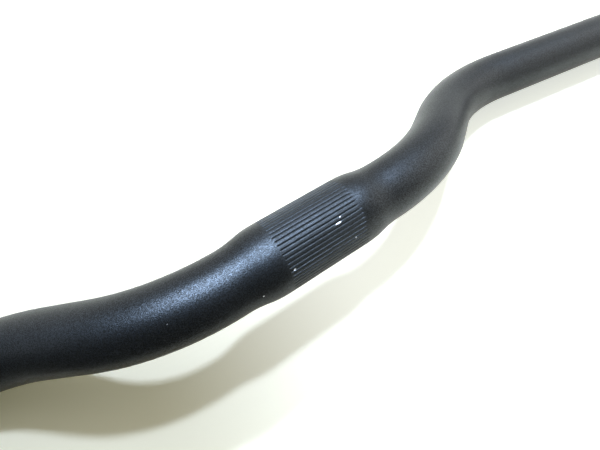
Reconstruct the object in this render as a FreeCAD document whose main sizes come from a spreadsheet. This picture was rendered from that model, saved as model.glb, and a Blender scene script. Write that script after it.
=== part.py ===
"""A riser handlebar: one aluminium tube, swollen and grooved where the stem grips it, and bent twice on each side.

The bar lies as it comes to rest on a floor, on both of its grips, with its middle raised and leaning over.
X runs along the bar, Z is up, and the origin is the centre of the clamp zone. The first bends turn the tube
into the rise, and the second bends turn it back into the grips, which sweep in one level plane.
"""
import FreeCAD, Part
import Sketcher
import math
import os

Vector = FreeCAD.Vector
Constraint = Sketcher.Constraint

# Driving dimensions, in millimetres and degrees
DRIVING = {
    "clamp_diameter": 25.4,  # over the lands of the clamp zone
    "tube_diameter": 22.2,  # the tube and its grips
    "wall": 2.2,
    "clamp_length": 32.0,  # the parallel, grooved middle
    "taper_length": 15.0,  # from the clamp zone down to the tube, on each side
    "bend_radius": 75.0,  # of the tube's axis, in every bend
    "rise": 38.0,  # from the axis at the clamp to the corner of the second bend
    "rise_angle": 34.5,  # turn of the first bend
    "sweep_angle": 7.5,  # turn of the grips, back from the line of the clamp
    "plane_angle": 27.0,  # between the plane of the rise and the level plane of the grips
    "overall_width": 620.0,  # between the centres of the two end faces
    "end_chamfer": 0.6,
    "groove_count": 52,
    "groove_width": 0.36,
    "groove_depth": 0.2,
}

# Values that follow from them. A setback is the distance from the end of a bend to its corner.
# The second bend has a plane of its own: the grip's direction is given by its parts along the rise,
# towards the centre of the first bend's arc and square to both.
DERIVED = {
    "clamp_half": "Sizes.clamp_length / 2",
    "straight_half": "clamp_half + Sizes.taper_length",
    "clamp_radius": "Sizes.clamp_diameter / 2",
    "tube_radius": "Sizes.tube_diameter / 2",
    "bore_radius": "tube_radius - Sizes.wall",
    "swell": "clamp_radius - tube_radius",
    "taper_radius": "(Sizes.taper_length ^ 2 + swell ^ 2) / (4 * swell)",
    "first_setback": "Sizes.bend_radius * tan(Sizes.rise_angle / 2)",
    "grip_along_rise": "cos(Sizes.rise_angle) * cos(Sizes.sweep_angle)"
                       " - sin(Sizes.rise_angle) * sin(Sizes.sweep_angle) * cos(Sizes.plane_angle)",
    "grip_inwards": "-sin(Sizes.rise_angle) * cos(Sizes.sweep_angle)"
                    " - cos(Sizes.rise_angle) * sin(Sizes.sweep_angle) * cos(Sizes.plane_angle)",
    "grip_sideways": "-sin(Sizes.sweep_angle) * sin(Sizes.plane_angle)",
    "second_turn": "acos(grip_along_rise)",
    "second_roll": "atan2(grip_sideways; grip_inwards)",
    "second_setback": "Sizes.bend_radius * tan(second_turn / 2)",
    "run_length": "Sizes.rise / sin(Sizes.rise_angle) - first_setback - second_setback",
    "corner_reach": "straight_half + first_setback + Sizes.rise / tan(Sizes.rise_angle)",
    "grip_length": "(Sizes.overall_width / 2 - corner_reach) / cos(Sizes.sweep_angle) - second_setback",
}

doc = FreeCAD.newDocument("riser_handlebar")


def fill_sheet(name, cells):
    """One row for each value: its name in column A, and the value, with that name as alias, in column B."""
    sheet = doc.addObject("Spreadsheet::Sheet", name)
    for row, (alias, content) in enumerate(cells.items(), start=1):
        sheet.set(f"A{row}", alias)
        sheet.setAlias(f"B{row}", alias)
        sheet.set(f"B{row}", content)
    return sheet


sizes = fill_sheet("Sizes", {alias: str(number) for alias, number in DRIVING.items()})
layout = fill_sheet("Layout", {alias: "=" + formula for alias, formula in DERIVED.items()})
doc.recompute()

bar = doc.addObject("PartDesign::Body", "handlebar")
bar.Label = "handlebar"
origin = {feature.Role: feature for feature in bar.Origin.OriginFeatures}

# How a sketch numbers the points of an element, and its own axes and origin
START, END, CENTRE = 1, 2, 3
H_AXIS, V_AXIS = -1, -2
ORIGIN = (H_AXIS, START)
NORMAL = Vector(0, 0, 1)


def station(name, placement):
    """A coordinate system on the tube's axis: z along the tube, x towards the centre of the next bend."""
    frame = bar.newObject("PartDesign::CoordinateSystem", name)
    frame.setExpression("Placement", placement)
    return frame


def new_sketch(name, support, map_mode):
    sketch = bar.newObject("Sketcher::SketchObject", name)
    sketch.AttachmentSupport = [(support, "")]
    sketch.MapMode = map_mode
    return sketch


def bind(sketch, formula, *constraint):
    """Adds a dimension to a sketch and ties it to the sheets."""
    index = sketch.addConstraint(Constraint(*constraint))
    sketch.setExpression(f"Constraints[{index}]", formula)


def draw_lines(sketch, corners):
    """A closed outline of straight lines: line i runs from corner i to the next one."""
    following = corners[1:] + corners[:1]
    for corner, next_corner in zip(corners, following):
        sketch.addGeometry(Part.LineSegment(corner, next_corner))
    for line in range(len(corners)):
        sketch.addConstraint(Constraint("Coincident", line, END, (line + 1) % len(corners), START))


def draw_ring(name, frame):
    """The tube's section: two circles about its axis, one wall apart."""
    sketch = new_sketch(name, frame, "ObjectXY")
    for radius in ("tube_radius", "bore_radius"):
        circle = sketch.addGeometry(Part.Circle(Vector(), NORMAL, layout.get(radius)))
        sketch.addConstraint(Constraint("Coincident", circle, CENTRE, *ORIGIN))
        bind(sketch, "Layout." + radius, "Radius", circle, layout.get(radius))
    return sketch


def bend(name, frame, turn):
    """A bent length of tube: the ring turned about a line through the centre of the bend."""
    sketch = draw_ring(name + "_section", frame)
    radius = sizes.get("bend_radius")
    line = sketch.addGeometry(Part.LineSegment(Vector(radius, -1, 0), Vector(radius, 1, 0)), True)
    sketch.addConstraint(Constraint("Symmetric", line, START, line, END, H_AXIS))
    bind(sketch, "Sizes.tube_diameter", "Distance", line, sizes.get("tube_diameter"))
    bind(sketch, "Sizes.bend_radius", "DistanceX", *ORIGIN, line, START, radius)
    feature = bar.newObject("PartDesign::Revolution", name)
    feature.Profile = sketch
    feature.ReferenceAxis = (sketch, ["Axis0"])
    feature.setExpression("Angle", turn)
    return feature


def bend_end(turn):
    """The step from the start of a bend to its end, in the frame of its start."""
    across = f"Sizes.bend_radius * (1 - cos({turn}))"
    along = f"Sizes.bend_radius * sin({turn})"
    return f"placement(vector({across}; 0; {along}); rotation(vector(0; 1; 0); {turn}))"


# Stations along the right half of the tube, each placed from the one before it
rise_plane = station("rise_plane", "placement(vector(0; 0; 0); rotation(vector(1; 0; 0); 90 - Sizes.plane_angle))")
first_bend_start = station(
    "first_bend_start",
    "rise_plane.Placement * placement(vector(Layout.straight_half; 0; 0); rotation(vector(0; 1; 0); 90))",
)
run_start = station("run_start", "first_bend_start.Placement * " + bend_end("Sizes.rise_angle"))
second_bend_start = station(
    "second_bend_start",
    "run_start.Placement"
    " * placement(vector(0; 0; Layout.run_length); rotation(vector(0; 0; 1); Layout.second_roll))",
)
grip_start = station("grip_start", "second_bend_start.Placement * " + bend_end("Layout.second_turn"))
doc.recompute()


def draw_clamp_section():
    """Half of the middle in section: a flat land, then a curve of two equal arcs down to the tube, outside and in."""
    sketch = new_sketch("clamp_section", origin["XZ_Plane"], "FlatFace")
    wall = sizes.get("wall")
    flat_end = layout.get("clamp_half")
    taper_end = layout.get("straight_half")
    top = layout.get("clamp_radius")
    bottom = layout.get("tube_radius")
    radius = layout.get("taper_radius")
    upper_centre = Vector(flat_end, top - radius, 0)
    lower_centre = Vector(taper_end, bottom + radius, 0)
    between = lower_centre - upper_centre
    slant = math.atan2(between.y, between.x)
    quarter = math.pi / 2

    def upper_arc(r):
        return sketch.addGeometry(Part.ArcOfCircle(Part.Circle(upper_centre, NORMAL, r), slant, quarter))

    def lower_arc(r):
        circle = Part.Circle(lower_centre, NORMAL, r)
        return sketch.addGeometry(Part.ArcOfCircle(circle, slant + math.pi, 3 * quarter))

    def line(x0, y0, x1, y1):
        return sketch.addGeometry(Part.LineSegment(Vector(x0, y0, 0), Vector(x1, y1, 0)))

    land = line(0, top, flat_end, top)
    upper = upper_arc(radius)
    lower = lower_arc(radius)
    wall_end = line(taper_end, bottom, taper_end, bottom - wall)
    lower_inside = lower_arc(radius + wall)
    upper_inside = upper_arc(radius - wall)
    inside = line(flat_end, top - wall, 0, top - wall)
    middle = line(0, top - wall, 0, top)

    def join(kind, *points):
        sketch.addConstraint(Constraint(kind, *points))

    join("Coincident", middle, END, land, START)
    join("Coincident", land, END, upper, END)
    join("Tangent", upper, START, lower, START)
    join("Coincident", lower, END, wall_end, START)
    join("Coincident", wall_end, END, lower_inside, END)
    join("Tangent", lower_inside, START, upper_inside, START)
    join("Coincident", upper_inside, END, inside, START)
    join("Coincident", inside, END, middle, START)
    join("Horizontal", land)
    join("Horizontal", inside)
    join("Vertical", wall_end)
    join("PointOnObject", middle, START, V_AXIS)
    join("PointOnObject", middle, END, V_AXIS)
    join("Vertical", upper, END, upper, CENTRE)
    join("Vertical", lower, END, lower, CENTRE)
    join("Coincident", upper_inside, CENTRE, upper, CENTRE)
    join("Coincident", lower_inside, CENTRE, lower, CENTRE)
    join("Vertical", upper_inside, END, upper_inside, CENTRE)
    bind(sketch, "Layout.clamp_radius", "DistanceY", *ORIGIN, land, START, top)
    bind(sketch, "Layout.clamp_half", "DistanceX", *ORIGIN, land, END, flat_end)
    bind(sketch, "Layout.straight_half", "DistanceX", *ORIGIN, lower, END, taper_end)
    bind(sketch, "Layout.tube_radius", "DistanceY", *ORIGIN, lower, END, bottom)
    bind(sketch, "Layout.taper_radius", "Radius", upper, radius)
    bind(sketch, "Layout.bore_radius", "DistanceY", *ORIGIN, wall_end, END, bottom - wall)
    return sketch


# The middle of the bar, as far as the first bend
clamp_zone = bar.newObject("PartDesign::Revolution", "clamp_zone")
clamp_zone.Profile = draw_clamp_section()
clamp_zone.ReferenceAxis = (clamp_zone.Profile[0], ["H_Axis"])
clamp_zone.Angle = 360
doc.recompute()

# The rise: a bend, a short straight run and a bend back
first_bend = bend("first_bend", first_bend_start, "Sizes.rise_angle")
run = bar.newObject("PartDesign::Pad", "run")
run.Profile = draw_ring("run_section", run_start)
run.setExpression("Length", "Layout.run_length")
second_bend = bend("second_bend", second_bend_start, "Layout.second_turn")
doc.recompute()


def draw_grip_section():
    """The wall of a grip in section, from the second bend to the open end, with both rims of the end broken."""
    sketch = new_sketch("grip_section", grip_start, "ObjectXZ")
    outside = layout.get("tube_radius")
    inside = layout.get("bore_radius")
    length = layout.get("grip_length")
    chamfer = sizes.get("end_chamfer")
    corners = [
        Vector(inside, 0, 0),
        Vector(outside, 0, 0),
        Vector(outside, length - chamfer, 0),
        Vector(outside - chamfer, length, 0),
        Vector(inside + chamfer, length, 0),
        Vector(inside, length - chamfer, 0),
    ]
    draw_lines(sketch, corners)
    foot, outer, outer_rim, end_face, inner_rim, inner = range(len(corners))
    sketch.addConstraint(Constraint("Horizontal", foot))
    sketch.addConstraint(Constraint("Vertical", outer))
    sketch.addConstraint(Constraint("Horizontal", end_face))
    sketch.addConstraint(Constraint("Vertical", inner))
    bind(sketch, "Layout.bore_radius", "DistanceX", *ORIGIN, foot, START, inside)
    bind(sketch, "Layout.tube_radius", "DistanceX", *ORIGIN, foot, END, outside)
    sketch.addConstraint(Constraint("PointOnObject", foot, START, H_AXIS))
    bind(sketch, "Layout.grip_length", "DistanceY", *ORIGIN, end_face, START, length)
    bind(sketch, "Sizes.end_chamfer", "DistanceX", outer_rim, END, outer_rim, START, chamfer)
    bind(sketch, "Sizes.end_chamfer", "DistanceY", outer_rim, START, outer_rim, END, chamfer)
    bind(sketch, "Sizes.end_chamfer", "DistanceX", inner_rim, END, inner_rim, START, chamfer)
    bind(sketch, "Sizes.end_chamfer", "DistanceY", inner_rim, END, inner_rim, START, chamfer)
    return sketch


# The grip, and then the left half as the mirror image of the right
grip = bar.newObject("PartDesign::Revolution", "grip")
grip.Profile = draw_grip_section()
grip.ReferenceAxis = (grip.Profile[0], ["V_Axis"])
grip.Angle = 360
doc.recompute()
left_half = bar.newObject("PartDesign::Mirrored", "left_half")
left_half.Originals = [clamp_zone, first_bend, run, second_bend, grip]
left_half.MirrorPlane = (origin["YZ_Plane"], [""])
bar.Tip = left_half
doc.recompute()


def draw_groove_section():
    """A V-shaped groove in section. Its sides run on past the land, to twice the groove's depth and width."""
    sketch = new_sketch("groove_section", origin["YZ_Plane"], "FlatFace")
    width = sizes.get("groove_width")
    depth = sizes.get("groove_depth")
    land = layout.get("clamp_radius")
    corners = [Vector(0, land - depth, 0), Vector(width, land + depth, 0), Vector(-width, land + depth, 0)]
    draw_lines(sketch, corners)
    right_side, top, left_side = range(len(corners))
    sketch.addConstraint(Constraint("PointOnObject", right_side, START, V_AXIS))
    sketch.addConstraint(Constraint("Symmetric", top, START, top, END, V_AXIS))
    bind(sketch, "Layout.clamp_radius - Sizes.groove_depth", "DistanceY", *ORIGIN, right_side, START, land - depth)
    bind(sketch, "2 * Sizes.groove_depth", "DistanceY", right_side, START, right_side, END, 2 * depth)
    bind(sketch, "2 * Sizes.groove_width", "DistanceX", top, END, top, START, 2 * width)
    return sketch


# Fine grooves along the clamp zone, all round, for the stem to bite on
groove = bar.newObject("PartDesign::Pocket", "groove")
groove.Profile = draw_groove_section()
groove.SideType = "Symmetric"
groove.setExpression("Length", "Sizes.clamp_length")
doc.recompute()
grooves = bar.newObject("PartDesign::PolarPattern", "grooves")
grooves.Originals = [groove]
grooves.Axis = (origin["X_Axis"], [""])
grooves.Angle = 360
grooves.setExpression("Occurrences", "Sizes.groove_count")
bar.Tip = grooves
doc.recompute()

# Checks before anything is written
for feature in doc.Objects:
    if "Invalid" in feature.State or "Error" in feature.State:
        raise RuntimeError(f"{feature.Name} failed: {feature.State}")
if bar.Shape.isNull() or not bar.Shape.isValid() or len(bar.Shape.Solids) != 1:
    raise RuntimeError("the handlebar is not one valid solid")
groove_section = sizes.get("groove_width") * sizes.get("groove_depth") / 2
expected_cut = sizes.get("groove_count") * groove_section * sizes.get("clamp_length")
cut = left_half.Shape.Volume - bar.Shape.Volume
if abs(cut - expected_cut) > expected_cut / 10:
    raise RuntimeError(f"the grooves took {cut:.2f} mm3 and not {expected_cut:.2f} mm3")

os.makedirs("parts", exist_ok=True)
bar.Shape.exportStep(f"parts/{bar.Label}.step")
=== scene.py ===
"""A riser handlebar in satin black, lying on its two grips on a pale floor."""

import math

import bpy
import numpy as np
from mathutils import Matrix, Vector


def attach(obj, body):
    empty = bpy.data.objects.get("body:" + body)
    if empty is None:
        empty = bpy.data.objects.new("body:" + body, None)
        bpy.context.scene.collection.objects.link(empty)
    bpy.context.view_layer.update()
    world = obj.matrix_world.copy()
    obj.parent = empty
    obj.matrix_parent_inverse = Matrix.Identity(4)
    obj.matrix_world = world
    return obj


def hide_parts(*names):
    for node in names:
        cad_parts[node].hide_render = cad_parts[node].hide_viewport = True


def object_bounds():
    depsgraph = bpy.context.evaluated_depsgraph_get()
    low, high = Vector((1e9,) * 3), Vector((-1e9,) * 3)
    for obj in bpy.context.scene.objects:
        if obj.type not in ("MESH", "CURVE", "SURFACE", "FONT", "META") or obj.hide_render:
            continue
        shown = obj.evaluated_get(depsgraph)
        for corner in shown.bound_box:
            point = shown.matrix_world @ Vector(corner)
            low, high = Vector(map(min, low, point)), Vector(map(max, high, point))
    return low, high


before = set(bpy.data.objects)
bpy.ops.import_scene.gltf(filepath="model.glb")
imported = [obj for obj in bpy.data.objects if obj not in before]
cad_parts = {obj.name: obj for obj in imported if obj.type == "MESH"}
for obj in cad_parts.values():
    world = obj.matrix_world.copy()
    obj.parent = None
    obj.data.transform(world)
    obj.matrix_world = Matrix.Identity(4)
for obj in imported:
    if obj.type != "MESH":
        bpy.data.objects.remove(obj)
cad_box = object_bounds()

# The bar's line. The real bar starts as a straight aluminium tube with a thicker middle and is bent cold,
# twice on each side, round one former. The middle and the grips stay straight, and the whole lies on the
# grips.
MM = 0.001
CLAMP_HALF = 16.0 * MM
TAPER = 15.0 * MM
BEND_RADIUS = 75.0 * MM
RISE = 38.0 * MM
RISE_ANGLE = math.radians(34.5)
RISE_PLANE = math.radians(27.0)
SWEEP = math.radians(7.5)
HALF_WIDTH = 310.0 * MM

MIDDLE_WAY = np.array((1.0, 0.0, 0.0))
RISE_WAY = np.array((
    math.cos(RISE_ANGLE),
    math.sin(RISE_ANGLE) * math.cos(RISE_PLANE),
    -math.sin(RISE_ANGLE) * math.sin(RISE_PLANE),
))
GRIP_WAY = np.array((math.cos(SWEEP), -math.sin(SWEEP), 0.0))
SECOND_TURN = math.acos(RISE_WAY @ GRIP_WAY)
FIRST_SETBACK = BEND_RADIUS * math.tan(RISE_ANGLE / 2)
SECOND_SETBACK = BEND_RADIUS * math.tan(SECOND_TURN / 2)
RUN = RISE / math.sin(RISE_ANGLE) - FIRST_SETBACK - SECOND_SETBACK
SECOND_CORNER_X = CLAMP_HALF + TAPER + FIRST_SETBACK + RISE / math.tan(RISE_ANGLE)
GRIP = (HALF_WIDTH - SECOND_CORNER_X) / math.cos(SWEEP) - SECOND_SETBACK

FIRST_BEND = CLAMP_HALF + TAPER
RUN_START = FIRST_BEND + BEND_RADIUS * RISE_ANGLE
SECOND_BEND = RUN_START + RUN
GRIP_START = SECOND_BEND + BEND_RADIUS * SECOND_TURN
BAR_HALF = GRIP_START + GRIP

UP = np.array((0.0, 0.0, 1.0))
NEAR = np.array((0.0, -1.0, 0.0))


def bend_step(way_in, way_out, turn):
    """How far a bend has carried the axis after each turn: the radius times sine of the turn along the way
    in, and times one minus its cosine towards the inside of the bend."""
    inside = way_out - way_in * (way_in @ way_out)
    inside /= np.linalg.norm(inside)
    return BEND_RADIUS * (np.sin(turn)[:, None] * way_in + (1 - np.cos(turn))[:, None] * inside)


def bend_turn(vectors, way_in, way_out, turn):
    """Directions turned with the bend: the share along the bend's axle stays, and the rest turns in its
    plane."""
    axle = np.cross(way_in, way_out)
    axle /= np.linalg.norm(axle)
    held = (vectors @ axle)[:, None] * axle
    free = vectors - held
    return held + np.cos(turn)[:, None] * free + np.sin(turn)[:, None] * np.cross(axle, free)


def bent_line(along):
    """The axis at distances along the bar from its middle, with the two directions across the tube, up and
    near. Straight runs and arcs add up to the point, and the arcs' turns carry the directions round. The
    left half is the right one with x turned over."""
    reach = np.abs(along)
    first = np.clip((reach - FIRST_BEND) / BEND_RADIUS, 0, RISE_ANGLE)
    second = np.clip((reach - SECOND_BEND) / BEND_RADIUS, 0, SECOND_TURN)
    point = np.minimum(reach, FIRST_BEND)[:, None] * MIDDLE_WAY
    point = point + bend_step(MIDDLE_WAY, RISE_WAY, first)
    point = point + np.clip(reach - RUN_START, 0, RUN)[:, None] * RISE_WAY
    point = point + bend_step(RISE_WAY, GRIP_WAY, second)
    point = point + np.clip(reach - GRIP_START, 0, None)[:, None] * GRIP_WAY
    across = []
    for direction in (UP, NEAR):
        rings = np.tile(direction, (len(along), 1))
        rings = bend_turn(rings, MIDDLE_WAY, RISE_WAY, first)
        across.append(bend_turn(rings, RISE_WAY, GRIP_WAY, second))
    side = np.ones((len(along), 3))
    side[along < 0, 0] = -1.0
    return point * side, across[0] * side, across[1] * side


# The tube itself: one wall all the way, swollen to the stem's clamp size in the middle, with fine grooves
# rolled into the clamp zone for the stem to bite on. Both ends are sawn off square and their rims broken.
CLAMP_RADIUS = 12.7 * MM
TUBE_RADIUS = 11.1 * MM
WALL = 2.2 * MM
RIM = 0.6 * MM
GROOVES = 52
GROOVE_TURN = math.radians(1.8)
GROOVE_HALF = 0.16 * MM
GROOVE_DEPTH = 0.19 * MM
GROOVE_FLANKS = 2
GROOVES_LEFT = -14.8 * MM
GROOVES_RIGHT = 15.9 * MM
LEFT_END = 0.4 * MM
RIGHT_END = 2.4 * MM
LAND_POINTS = 2
MIDDLE_RINGS = 4
GROOVE_END_RINGS = 16
TAPER_RINGS = 12
BEND_RINGS = 14
RUN_RINGS = 4
GRIP_RINGS = 10


def swollen_radius(along):
    """The outside radius: the clamp's in the middle, the tube's outside, and between them two equal arcs in
    an S. Each arc falls by half the step over half the taper, so its radius follows from the two."""
    half_run = TAPER / 2
    half_drop = (CLAMP_RADIUS - TUBE_RADIUS) / 2
    bow = (half_run ** 2 + half_drop ** 2) / (2 * half_drop)
    into = np.clip(np.abs(along) - CLAMP_HALF, 0, TAPER)
    fall = bow - np.sqrt(bow ** 2 - np.minimum(into, half_run) ** 2)
    rest = bow - np.sqrt(bow ** 2 - np.minimum(TAPER - into, half_run) ** 2)
    return np.where(into < half_run, CLAMP_RADIUS - fall, TUBE_RADIUS + rest)


def groove_share(along):
    """How deep the grooves are along the bar, from 0 to 1: they start sharply at the left and run out at
    the right, each end an S-shaped step."""
    left = np.clip((along - GROOVES_LEFT) / LEFT_END, 0, 1)
    right = np.clip((GROOVES_RIGHT - along) / RIGHT_END, 0, 1)
    return (left ** 2 * (3 - 2 * left)) * (right ** 2 * (3 - 2 * right))


def tube_stations():
    """Where the rings stand on the outside, from the left end to the right: close together where the
    grooves end and in the tapers and bends, and few on the straight runs."""
    half = np.concatenate((
        np.linspace(0, GROOVES_RIGHT - 2 * RIGHT_END, MIDDLE_RINGS),
        np.linspace(GROOVES_RIGHT - RIGHT_END, CLAMP_HALF, GROOVE_END_RINGS),
        np.linspace(CLAMP_HALF, FIRST_BEND, TAPER_RINGS)[1:],
        np.linspace(FIRST_BEND, RUN_START, BEND_RINGS)[1:],
        np.linspace(RUN_START, SECOND_BEND, RUN_RINGS)[1:],
        np.linspace(SECOND_BEND, GRIP_START, BEND_RINGS)[1:],
        np.linspace(GRIP_START, BAR_HALF - 3 * RIM, GRIP_RINGS)[1:],
        (BAR_HALF - 1.5 * RIM, BAR_HALF - RIM),
    ))
    return np.concatenate((-half[:0:-1], half))


def closed_grid(rings, points):
    """Four-sided faces between neighbouring rings and points, closed both ways, so the last ring meets the
    first."""
    ring, point = np.meshgrid(np.arange(rings), np.arange(points), indexing="ij")
    next_ring = (ring + 1) % rings
    next_point = (point + 1) % points
    corners = (
        ring * points + point,
        ring * points + next_point,
        next_ring * points + next_point,
        next_ring * points + point,
    )
    return np.stack(corners, axis=-1).reshape(-1, 4)


def tube_mesh():
    """The tube as one closed skin: a ring of points is carried along the outside, over the right rim, back
    along the bore with every second ring, and over the left rim. A point is the axis plus the radius times
    cosine of its angle up and sine near, less the groove's V where a groove runs, whose flanks are flat.
    Each point also keeps its place on the tube before it was bent."""
    outside = tube_stations()
    rim = BAR_HALF - RIM * np.array((1.0, 0.5, 0.0, 0.0, 0.0, 0.5, 1.0))
    bore_radius = TUBE_RADIUS - WALL
    rim_radius = np.array((
        TUBE_RADIUS, TUBE_RADIUS - RIM / 2, TUBE_RADIUS - RIM, TUBE_RADIUS - WALL / 2,
        bore_radius + RIM, bore_radius + RIM / 2, bore_radius,
    ))
    bore = outside[::-2]
    along = np.concatenate((outside, rim[1:], bore[1:], -rim[-2:0:-1]))
    radius = np.concatenate((
        swollen_radius(outside), rim_radius[1:], swollen_radius(bore[1:]) - WALL, rim_radius[-2:0:-1],
    ))
    in_bore = np.concatenate((
        np.zeros(len(outside)), np.zeros(len(rim) - 2), np.ones(len(bore)), np.zeros(len(rim) - 2),
    ))

    pitch = 2 * math.pi * CLAMP_RADIUS / GROOVES
    land = np.linspace(GROOVE_HALF, pitch - GROOVE_HALF, LAND_POINTS + 2)[1:-1]
    offsets = np.concatenate(((-GROOVE_HALF, 0.0, GROOVE_HALF), land))
    depths = GROOVE_DEPTH * np.clip(1 - np.abs(offsets) / GROOVE_HALF, 0, 1)
    turns = np.arange(GROOVES) * 2 * math.pi / GROOVES + GROOVE_TURN
    around = (turns[:, None] + offsets / CLAMP_RADIUS).ravel()
    notch = np.tile(depths, GROOVES)

    point, up, near = bent_line(along)
    share = groove_share(along) * (1 - in_bore)
    reach = radius[:, None] - share[:, None] * notch
    ways = np.cos(around)[None, :, None] * up[:, None, :] + np.sin(around)[None, :, None] * near[:, None, :]
    places = point[:, None, :] + reach[:, :, None] * ways
    straight = np.stack(np.broadcast_arrays(
        radius[:, None] * np.cos(around), radius[:, None] * np.sin(around), along[:, None],
    ), axis=-1)

    mesh = bpy.data.meshes.new("bar_tube")
    mesh.from_pydata(places.reshape(-1, 3), [], closed_grid(len(along), len(around)))
    cut_rings = np.maximum(share, np.roll(share, -1)) > 0
    flanks = np.tile(np.arange(len(offsets)) < GROOVE_FLANKS, GROOVES)
    mesh.polygons.foreach_set("use_smooth", ~(cut_rings[:, None] & flanks).ravel())
    before = mesh.attributes.new("before_bending", "FLOAT_VECTOR", "POINT")
    before.data.foreach_set("vector", straight.astype(np.float32).ravel())
    bore_mark = mesh.attributes.new("in_bore", "FLOAT", "POINT")
    bore_mark.data.foreach_set("value", np.repeat(in_bore, len(around)).astype(np.float32))
    return mesh


bar = bpy.data.objects.new("bar_tube", tube_mesh())
bpy.context.scene.collection.objects.link(bar)

# The finish: a satin black coat with fine flakes in it, sprayed on and baked. The stem has rubbed the clamp
# zone duller, and a few small chips go down to bright metal. The bore is bare but for some spray at its ends.
COAT_COLOUR = (0.006, 0.0072, 0.0064, 1.0)
COAT_WORN = (0.011, 0.0125, 0.011, 1.0)
COAT_ROUGH = (0.36, 0.43)
COAT_SHINE = 0.17
GRAIN_SIZE = 0.34 * MM
GRAIN_DETAIL = 0.0
GRAIN_HEIGHT = 0.03 * MM
FLAKE_COLOUR = (0.059, 0.064, 0.069, 1.0)
FLAKE_SIZE = 0.18 * MM
FLAKE_SHARE = 0.8
SMEAR_SCALE = 60.0
SMEAR_DETAIL = 4.0
SMEAR_SPAN = (0.3, 0.7)
RUBBED_COLOUR = (0.018, 0.02, 0.018, 1.0)
RUBBED_ROUGH = 0.07
RUBBED_EDGE = 2.0 * MM
BORE_METAL = (0.32, 0.32, 0.33, 1.0)
SPRAY_FULL = 2.0 * MM
SPRAY_DEPTH = 18.0 * MM
CHIP_COLOUR = (0.86, 0.87, 0.88, 1.0)
CHIP_METAL = 0.35
CHIP_EDGE = (1.75, 1.5)
FRAY_SCALE = 2600.0
FRAY_DETAIL = 2.0
FRAY_REACH = 1.2
# Each chip: place along the bar, angle from straight up towards the near side, length, width.
CHIPS = (
    (5.9 * MM, 31.5, 2.1 * MM, 0.5 * MM),
    (7.3 * MM, 25.0, 0.45 * MM, 0.35 * MM),
    (-13.3 * MM, 56.0, 0.9 * MM, 0.7 * MM),
    (-24.9 * MM, 72.0, 0.6 * MM, 0.34 * MM),
    (9.7 * MM, 65.5, 0.4 * MM, 0.34 * MM),
    (-49.6 * MM, 37.0, 0.24 * MM, 0.24 * MM),
)

coat = bpy.data.materials.new("black_coat")
coat.use_nodes = True
coat_tree = coat.node_tree
shader = coat_tree.nodes["Principled BSDF"]
place_node = coat_tree.nodes.new("ShaderNodeAttribute")
place_node.attribute_name = "before_bending"
place = place_node.outputs["Vector"]


def feed(tree, socket, source):
    """Gives a socket its source: a link from another socket, or a plain number or colour."""
    if isinstance(source, bpy.types.NodeSocket):
        tree.links.new(source, socket)
    else:
        socket.default_value = source


def worked_out(tree, operation, *terms):
    """A Math node on up to three terms, each a socket or a plain number."""
    node = tree.nodes.new("ShaderNodeMath")
    node.operation = operation
    for socket, term in zip(node.inputs, terms):
        feed(tree, socket, term)
    return node.outputs[0]


def worked_out_way(tree, operation, *terms):
    """The outputs of a Vector Math node on one or two terms, each a socket or a plain vector."""
    node = tree.nodes.new("ShaderNodeVectorMath")
    node.operation = operation
    for socket, term in zip(node.inputs, terms):
        feed(tree, socket, term)
    return node.outputs


def mottle(tree, where, scale, detail):
    """A Noise Texture node over a place, with as many blotches to the metre as the scale says."""
    noise = tree.nodes.new("ShaderNodeTexNoise")
    noise.inputs["Scale"].default_value = scale
    noise.inputs["Detail"].default_value = detail
    tree.links.new(where, noise.inputs["Vector"])
    return noise.outputs["Fac"]


def share_between(tree, value, start, end):
    """A Map Range node: the share of the way from start to end that a value has gone, held from 0 to 1."""
    share = tree.nodes.new("ShaderNodeMapRange")
    share.inputs["From Min"].default_value = start
    share.inputs["From Max"].default_value = end
    tree.links.new(value, share.inputs["Value"])
    return share.outputs["Result"]


def mixed_colour(tree, share, first, second):
    """A Mix node between two colours, each a socket or a plain colour, by a share. Its colours go in at
    sockets 6 and 7 and come out at 2."""
    mix = tree.nodes.new("ShaderNodeMix")
    mix.data_type = "RGBA"
    tree.links.new(share, mix.inputs["Factor"])
    feed(tree, mix.inputs[6], first)
    feed(tree, mix.inputs[7], second)
    return mix.outputs[2]


def chip_group():
    """One chip as a node group: the way from the chip's middle, shrunk by its half width and half length,
    gives a distance, and a little noise frays the edge where that distance passes about 1."""
    group = bpy.data.node_groups.new("coat_chip", "ShaderNodeTree")
    group.interface.new_socket("Place", in_out="INPUT", socket_type="NodeSocketVector")
    group.interface.new_socket("Middle", in_out="INPUT", socket_type="NodeSocketVector")
    group.interface.new_socket("Size", in_out="INPUT", socket_type="NodeSocketVector")
    group.interface.new_socket("Chip", in_out="OUTPUT", socket_type="NodeSocketFloat")
    given = group.nodes.new("NodeGroupInput").outputs
    result = group.nodes.new("NodeGroupOutput").inputs
    away = worked_out_way(group, "SUBTRACT", given["Place"], given["Middle"])["Vector"]
    shrunk = worked_out_way(group, "DIVIDE", away, given["Size"])["Vector"]
    distance = worked_out_way(group, "LENGTH", shrunk)["Value"]
    fray = mottle(group, given["Place"], FRAY_SCALE, FRAY_DETAIL)
    frayed = worked_out(group, "MULTIPLY_ADD", fray, FRAY_REACH, distance)
    group.links.new(share_between(group, frayed, *CHIP_EDGE), result["Chip"])
    return group


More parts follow.
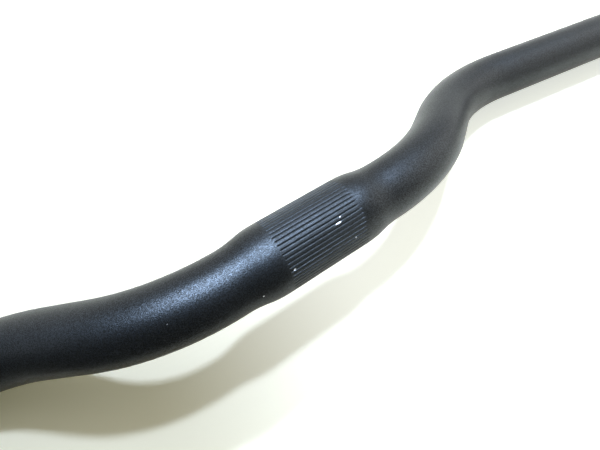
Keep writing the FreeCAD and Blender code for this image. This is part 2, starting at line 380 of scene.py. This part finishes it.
chip = chip_group()
chipped = 0.0
for along, angle, length, width in CHIPS:
    spot = coat_tree.nodes.new("ShaderNodeGroup")
    spot.node_tree = chip
    radius = float(swollen_radius(np.array([along]))[0])
    turn = math.radians(angle)
    spot.inputs["Middle"].default_value = (radius * math.cos(turn), radius * math.sin(turn), along)
    spot.inputs["Size"].default_value = (width / 2, width / 2, length / 2)
    coat_tree.links.new(place, spot.inputs["Place"])
    chipped = worked_out(coat_tree, "MAXIMUM", chipped, spot.outputs["Chip"])

grain_bump = coat_tree.nodes.new("ShaderNodeBump")
grain_bump.inputs["Distance"].default_value = GRAIN_HEIGHT
coat_tree.links.new(mottle(coat_tree, place, 1 / GRAIN_SIZE, GRAIN_DETAIL), grain_bump.inputs["Height"])
coat_tree.links.new(grain_bump.outputs["Normal"], shader.inputs["Normal"])

flakes = coat_tree.nodes.new("ShaderNodeTexVoronoi")
flakes.inputs["Scale"].default_value = 1 / FLAKE_SIZE
coat_tree.links.new(place, flakes.inputs["Vector"])
flake_draw = coat_tree.nodes.new("ShaderNodeSeparateColor")
coat_tree.links.new(flakes.outputs["Color"], flake_draw.inputs[0])
flake = share_between(coat_tree, flake_draw.outputs[0], 1 - FLAKE_SHARE, 1.0)

place_split = coat_tree.nodes.new("ShaderNodeSeparateXYZ")
coat_tree.links.new(place, place_split.inputs[0])
reach = worked_out(coat_tree, "ABSOLUTE", place_split.outputs["Z"])
rubbed = share_between(coat_tree, reach, CLAMP_HALF, CLAMP_HALF - RUBBED_EDGE)
bore_node = coat_tree.nodes.new("ShaderNodeAttribute")
bore_node.attribute_name = "in_bore"
unsprayed = share_between(coat_tree, reach, BAR_HALF - SPRAY_FULL, BAR_HALF - SPRAY_DEPTH)
bare_bore = worked_out(coat_tree, "MULTIPLY", bore_node.outputs["Fac"], unsprayed)

smear = mottle(coat_tree, place, SMEAR_SCALE, SMEAR_DETAIL)
coat_rough = share_between(coat_tree, smear, *SMEAR_SPAN)
coat_rough.node.inputs["To Min"].default_value = COAT_ROUGH[0]
coat_rough.node.inputs["To Max"].default_value = COAT_ROUGH[1]
rubbed_rough = worked_out(coat_tree, "MULTIPLY_ADD", rubbed, RUBBED_ROUGH, coat_rough)
coat_tree.links.new(rubbed_rough, shader.inputs["Roughness"])

coat_colour = mixed_colour(coat_tree, smear, COAT_COLOUR, COAT_WORN)
rubbed_colour = mixed_colour(coat_tree, rubbed, coat_colour, RUBBED_COLOUR)
flaked_colour = mixed_colour(coat_tree, flake, rubbed_colour, FLAKE_COLOUR)
bored_colour = mixed_colour(coat_tree, bare_bore, flaked_colour, BORE_METAL)
chipped_colour = mixed_colour(coat_tree, chipped, bored_colour, CHIP_COLOUR)
coat_tree.links.new(chipped_colour, shader.inputs["Base Color"])

chip_metal = worked_out(coat_tree, "MULTIPLY", chipped, CHIP_METAL)
bored_metal = worked_out(coat_tree, "MAXIMUM", chip_metal, bare_bore)
flaked_metal = worked_out(coat_tree, "MAXIMUM", bored_metal, flake)
coat_tree.links.new(flaked_metal, shader.inputs["Metallic"])
shader.inputs["Specular IOR Level"].default_value = COAT_SHINE

bar.data.materials.append(coat)
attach(bar, "root")
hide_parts("handlebar")

# The floor: one plain pale sheet that the grips lie on, matt and a little warm in the bar's shadow. Where it
# is seen or mirrored it also glows, a painted light: faint and warm at the left, strong to the right of the
# bar and far away from it, so that it is white there and the bar's shadow is painted lighter to the right.
FLOOR_COLOUR = (0.97, 0.945, 0.78, 1.0)
FLOOR_REACH = 2.5
# Painted light: the glow's colour at the left, in the bar's darkest shadow, and to the right and far off.
GLOW_LEFT = (0.08, 0.076, 0.032, 1.0)
GLOW_RIGHT = (0.62, 0.645, 0.61, 1.0)
GLOW_START = -75.0 * MM
GLOW_FULL = 22.0 * MM
FAR_START = 0.4
FAR_FULL = 1.2

floor_level = cad_box[0][2]
floor_mesh = bpy.data.meshes.new("floor")
floor_edges = np.array((-FLOOR_REACH, FLOOR_REACH))
across, deep = np.meshgrid(floor_edges, floor_edges)
floor_points = np.stack((across, deep, np.full_like(across, floor_level)), axis=-1).reshape(-1, 3)
floor_mesh.from_pydata(floor_points, [], [(0, 1, 3, 2)])
floor = bpy.data.objects.new("floor", floor_mesh)
bpy.context.scene.collection.objects.link(floor)


def eased_share(tree, value, start, end):
    """The share of the way from start to end that a value has gone, with an S-shaped rise."""
    share = share_between(tree, value, start, end)
    share.node.interpolation_type = "SMOOTHSTEP"
    return share


pale_floor = bpy.data.materials.new("pale_floor")
pale_floor.use_nodes = True
floor_tree = pale_floor.node_tree
floor_tree.nodes.remove(floor_tree.nodes["Principled BSDF"])
matt = floor_tree.nodes.new("ShaderNodeBsdfDiffuse")
matt.inputs["Color"].default_value = FLOOR_COLOUR
floor_place = floor_tree.nodes.new("ShaderNodeTexCoord").outputs["Object"]
floor_split = floor_tree.nodes.new("ShaderNodeSeparateXYZ")
floor_tree.links.new(floor_place, floor_split.inputs[0])
right_share = eased_share(floor_tree, floor_split.outputs["X"], GLOW_START, GLOW_FULL)
floor_distance = worked_out_way(floor_tree, "LENGTH", floor_place)["Value"]
far_share = eased_share(floor_tree, floor_distance, FAR_START, FAR_FULL)
glow_share = worked_out(floor_tree, "MAXIMUM", right_share, far_share)
# The glow is painted light. It lightens the floor and the bar's shadow to the right and far off.
glow = floor_tree.nodes.new("ShaderNodeEmission")
floor_tree.links.new(mixed_colour(floor_tree, glow_share, GLOW_LEFT, GLOW_RIGHT), glow.inputs["Color"])
seen_by = floor_tree.nodes.new("ShaderNodeLightPath").outputs
seen_or_mirrored = worked_out(floor_tree, "MAXIMUM", seen_by["Is Camera Ray"], seen_by["Is Glossy Ray"])
seen_at_all = worked_out(floor_tree, "MAXIMUM", seen_or_mirrored, seen_by["Is Transmission Ray"])
floor_tree.links.new(seen_at_all, glow.inputs["Strength"])
# A ray that is aimed at the floor as at a lamp is of none of these kinds, so none is aimed there.
pale_floor.cycles.emission_sampling = "NONE"
lit = floor_tree.nodes.new("ShaderNodeAddShader")
floor_tree.links.new(matt.outputs[0], lit.inputs[0])
floor_tree.links.new(glow.outputs[0], lit.inputs[1])
floor_tree.links.new(lit.outputs[0], floor_tree.nodes["Material Output"].inputs["Surface"])
floor_mesh.materials.append(pale_floor)

# The light: two cool windows behind the bar light it and throw its shadow, and don't show in the coat. A
# small fill at the right and a large cool lamp overhead only put shine on the coat. The room is bright at the
# far right, dark on the near side, and pale all round low down.
WINDOW_COLOUR = (0.7, 0.8, 1.0)
WINDOW_SIZE = (0.45, 0.45)
HIGH_WINDOW_PLACE = (2.48, 1.8, 5.16)
HIGH_WINDOW_POWER = 229.0
LOW_WINDOW_PLACE = (2.83, 3.37, 4.08)
LOW_WINDOW_POWER = 338.0
FILL_COLOUR = (1.0, 0.98, 0.94)
FILL_SIZE = (0.25, 0.25)
FILL_PLACE = (0.27, -0.07, 0.17)
FILL_POWER = 0.28
SHINE_COLOUR = (0.55, 0.72, 1.0)
SHINE_SIZE = (4.6, 3.6)
SHINE_PLACE = (0.24, 0.6, 5.92)
SHINE_POWER = 1680.0
ROOM_FAR = (1.1, 1.08, 1.0, 1.0)
ROOM_NEAR = (0.04, 0.039, 0.035, 1.0)
ROOM_WAY = (0.8, 0.6, 0.0)
ROOM_SPAN = (-0.4, 1.0)
ROOM_LOW = (1.0, 1.0, 0.99, 1.0)
LOW_END = 0.5
LOW_FULL = 0.2


def soft_lamp(name, place, size, power, colour):
    """A rectangular lamp at a place that faces the bar's middle, its long side level."""
    data = bpy.data.lights.new(name, "AREA")
    data.shape = "RECTANGLE"
    data.size, data.size_y = size
    data.energy = power
    data.color = colour
    lamp = bpy.data.objects.new(name, data)
    lamp.location = place
    lamp.visible_camera = False
    lamp.rotation_euler = Vector(place).to_track_quat("Z", "Y").to_euler()
    bpy.context.scene.collection.objects.link(lamp)
    return lamp


high_window = soft_lamp("high_window", HIGH_WINDOW_PLACE, WINDOW_SIZE, HIGH_WINDOW_POWER, WINDOW_COLOUR)
low_window = soft_lamp("low_window", LOW_WINDOW_PLACE, WINDOW_SIZE, LOW_WINDOW_POWER, WINDOW_COLOUR)
for window in (high_window, low_window):
    window.visible_glossy = False
fill = soft_lamp("right_fill", FILL_PLACE, FILL_SIZE, FILL_POWER, FILL_COLOUR)
shine = soft_lamp("shine_lamp", SHINE_PLACE, SHINE_SIZE, SHINE_POWER, SHINE_COLOUR)
for lamp in (fill, shine):
    lamp.visible_diffuse = False

room = bpy.data.worlds.new("room")
bpy.context.scene.world = room
room.use_nodes = True
room_tree = room.node_tree
way = room_tree.nodes.new("ShaderNodeTexCoord").outputs["Generated"]
farness = worked_out_way(room_tree, "DOT_PRODUCT", way, ROOM_WAY)["Value"]
room_colour = mixed_colour(room_tree, eased_share(room_tree, farness, *ROOM_SPAN), ROOM_NEAR, ROOM_FAR)
way_split = room_tree.nodes.new("ShaderNodeSeparateXYZ")
room_tree.links.new(way, way_split.inputs[0])
low_share = eased_share(room_tree, way_split.outputs["Z"], LOW_END, LOW_FULL)
low_colour = mixed_colour(room_tree, low_share, room_colour, ROOM_LOW)
room_tree.links.new(low_colour, room_tree.nodes["Background"].inputs["Color"])

# The dark card: a sheet of matt black card stood on its edge at the near left, its foot folded in over the
# floor. The camera doesn't see it and it throws no shadow: it only darkens what the coat mirrors there.
CARD_COLOUR = (0.01, 0.01, 0.01, 1.0)
CARD_SHINE = 0.0
CARD_FOLD = ((0.03, -0.08), (-0.42, -0.07), (-0.42, 0.06))
CARD_FOOT = ((-0.113, 0.001), (-0.086, -0.028), (-0.047, -0.045))
CARD_HEIGHT = 0.5
CARD_LIFT = 0.1 * MM
# Corners 0 to 2 are along the fold, 3 to 5 along the top, 6 to 8 along the foot's edge.
CARD_FACES = ((0, 1, 4, 3), (1, 2, 5, 4), (0, 8, 1), (8, 7, 1), (7, 6, 1), (6, 2, 1))

card_level = floor_level + CARD_LIFT
fold = np.array([(x, y, card_level) for x, y in CARD_FOLD])
top = fold + np.array((0.0, 0.0, CARD_HEIGHT))
foot = np.array([(x, y, card_level) for x, y in CARD_FOOT])
card_mesh = bpy.data.meshes.new("dark_card")
card_mesh.from_pydata(np.concatenate((fold, top, foot)), [], CARD_FACES)
card = bpy.data.objects.new("dark_card", card_mesh)
card.visible_camera = False
card.visible_diffuse = False
card.visible_shadow = False
bpy.context.scene.collection.objects.link(card)
black_card = bpy.data.materials.new("black_card")
black_card.use_nodes = True
card_shader = black_card.node_tree.nodes["Principled BSDF"]
card_shader.inputs["Base Color"].default_value = CARD_COLOUR
card_shader.inputs["Specular IOR Level"].default_value = CARD_SHINE
card_mesh.materials.append(black_card)

# The camera: a plain lens close above the bar at the near left, looking down on the clamp zone and a little
# turned. Its place and its three directions are fitted to the bar's outlines.
CAMERA_PLACE = Vector((-43.589 * MM, -54.901 * MM, 118.496 * MM))
CAMERA_RIGHT = Vector((0.81921685, -0.57343242, 0.00768155))
CAMERA_DOWN = Vector((-0.4832345, -0.69744734, -0.52919903))
CAMERA_FORWARD = Vector((0.30881736, 0.42981677, -0.84846295))
PICTURE_WIDTH = 600
FOCAL_PIXELS = 410.637
SENSOR = 36.0
NEAREST = 10.0 * MM

camera_data = bpy.data.cameras.new("camera")
camera_data.sensor_fit = "HORIZONTAL"
camera_data.sensor_width = SENSOR
camera_data.lens = SENSOR * FOCAL_PIXELS / PICTURE_WIDTH
camera_data.clip_start = NEAREST
camera = bpy.data.objects.new("camera", camera_data)
axes = Matrix((CAMERA_RIGHT, -CAMERA_DOWN, -CAMERA_FORWARD)).transposed()
camera.matrix_world = Matrix.Translation(CAMERA_PLACE) @ axes.to_4x4()
bpy.context.scene.collection.objects.link(camera)
bpy.context.scene.camera = camera
bpy.context.scene.view_settings.view_transform = "Standard"
